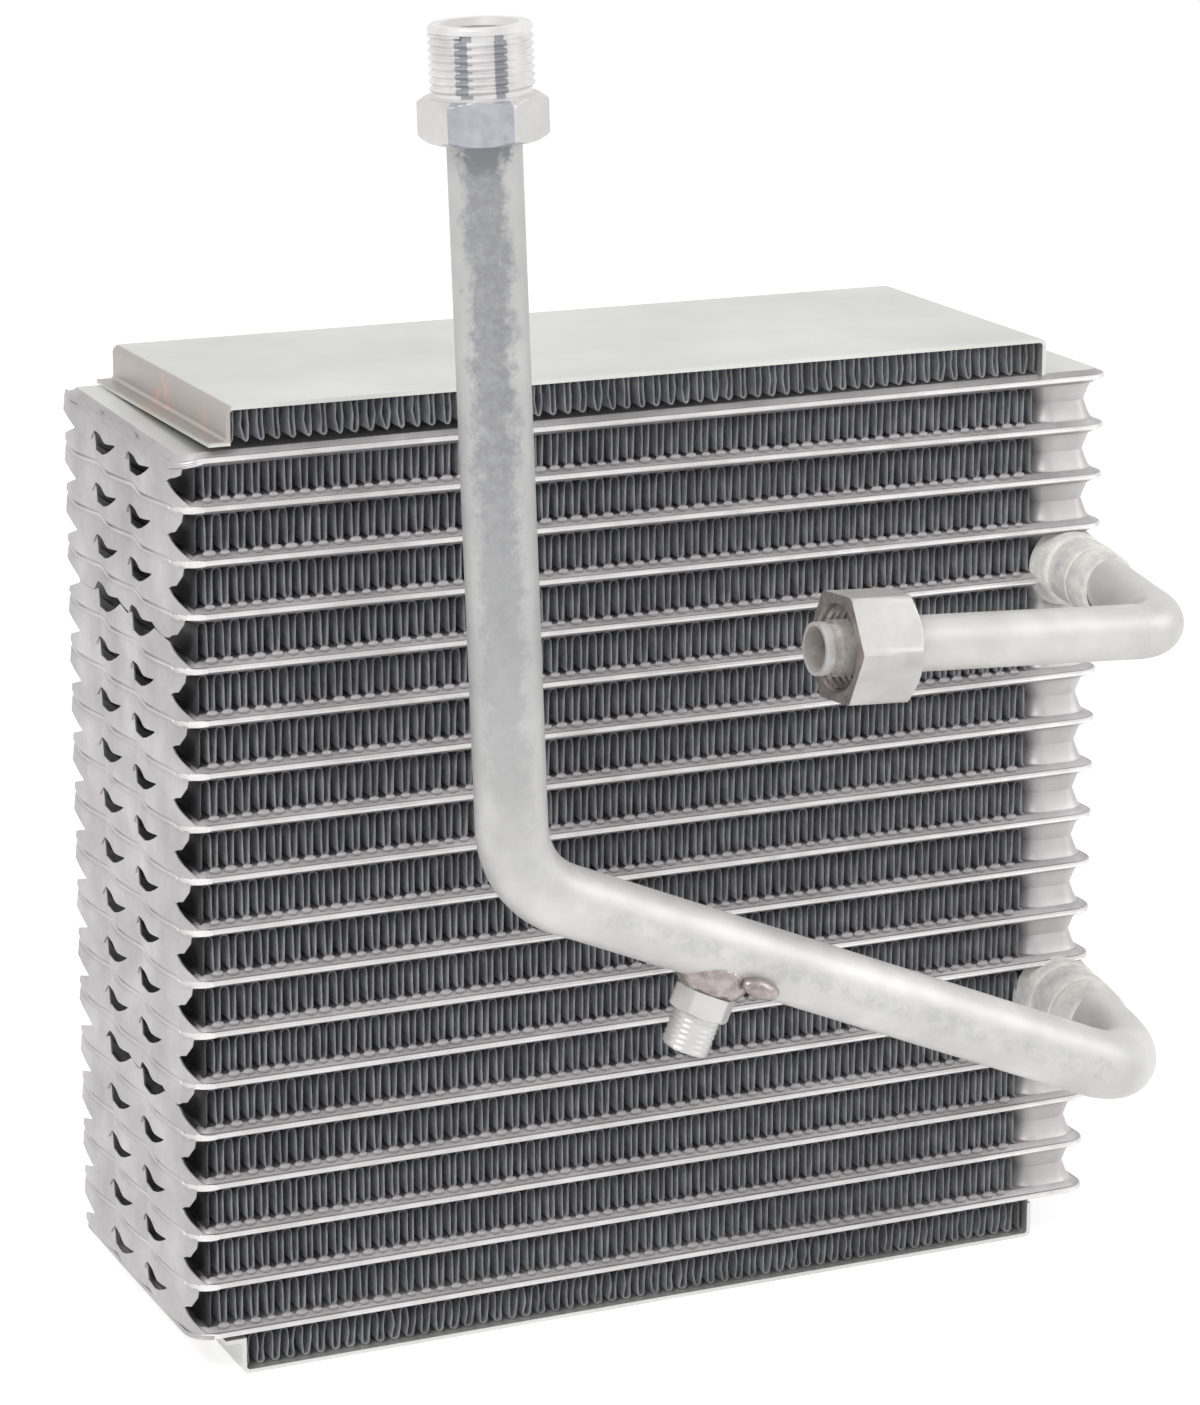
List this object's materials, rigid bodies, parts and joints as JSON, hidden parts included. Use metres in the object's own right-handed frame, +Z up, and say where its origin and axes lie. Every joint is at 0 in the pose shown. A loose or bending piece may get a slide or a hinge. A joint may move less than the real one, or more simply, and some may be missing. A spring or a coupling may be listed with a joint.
{
  "type": "vehicle air conditioner evaporator core",
  "caption": "Brazed plate-and-fin evaporator core with a suction line, a liquid line with a free union nut and a service port.",
  "frame": {"origin": "centre of the bottom end plate's underside", "axes": "+X along the tubes towards the tanks, +Y through the core away from the pipes, +Z up the stack"},
  "size_m": [0.2342, 0.1388, 0.3112],
  "materials": {
    "tube_sheet": "brazed, satin",
    "fin_sheet": "brazed, dull",
    "plate_sheet": "brazed, dull",
    "drawn_pipe": "satin",
    "turned_fitting": "machined"
  },
  "bodies": {
    "core": {"tube_01": "tube_sheet", "tube_02": "tube_sheet", "tube_03": "tube_sheet", "tube_04": "tube_sheet", "tube_05": "tube_sheet", "tube_06": "tube_sheet", "tube_07": "tube_sheet", "tube_08": "tube_sheet", "tube_09": "tube_sheet", "tube_10": "tube_sheet", "tube_11": "tube_sheet", "tube_12": "tube_sheet", "tube_13": "tube_sheet", "tube_14": "tube_sheet", "tube_15": "tube_sheet", "tube_16": "tube_sheet", "tube_17": "tube_sheet", "tube_18": "tube_sheet", "fin_01": "fin_sheet", "fin_02": "fin_sheet", "fin_03": "fin_sheet", "fin_04": "fin_sheet", "fin_05": "fin_sheet", "fin_06": "fin_sheet", "fin_07": "fin_sheet", "fin_08": "fin_sheet", "fin_09": "fin_sheet", "fin_10": "fin_sheet", "fin_11": "fin_sheet", "fin_12": "fin_sheet", "fin_13": "fin_sheet", "fin_14": "fin_sheet", "fin_15": "fin_sheet", "fin_16": "fin_sheet", "fin_17": "fin_sheet", "fin_18": "fin_sheet", "fin_19": "fin_sheet", "top_end_plate": "plate_sheet", "bottom_end_plate": "plate_sheet", "suction_collar": "turned_fitting", "suction_pipe": "drawn_pipe", "suction_fitting": "turned_fitting", "liquid_collar": "turned_fitting", "liquid_pipe": "drawn_pipe", "port_saddle": "turned_fitting", "port_stub": "turned_fitting", "port_fitting": "turned_fitting"},
    "nut": {"liquid_nut": "turned_fitting"}
  },
  "joints": [
    {"name": "nut_turn", "type": "hinge", "parent": "core", "child": "nut", "pos_m": [0.01713, -0.0855, 0.16935], "axis": [-0.9985, 0, 0.0541], "continuous": true}
  ]
}
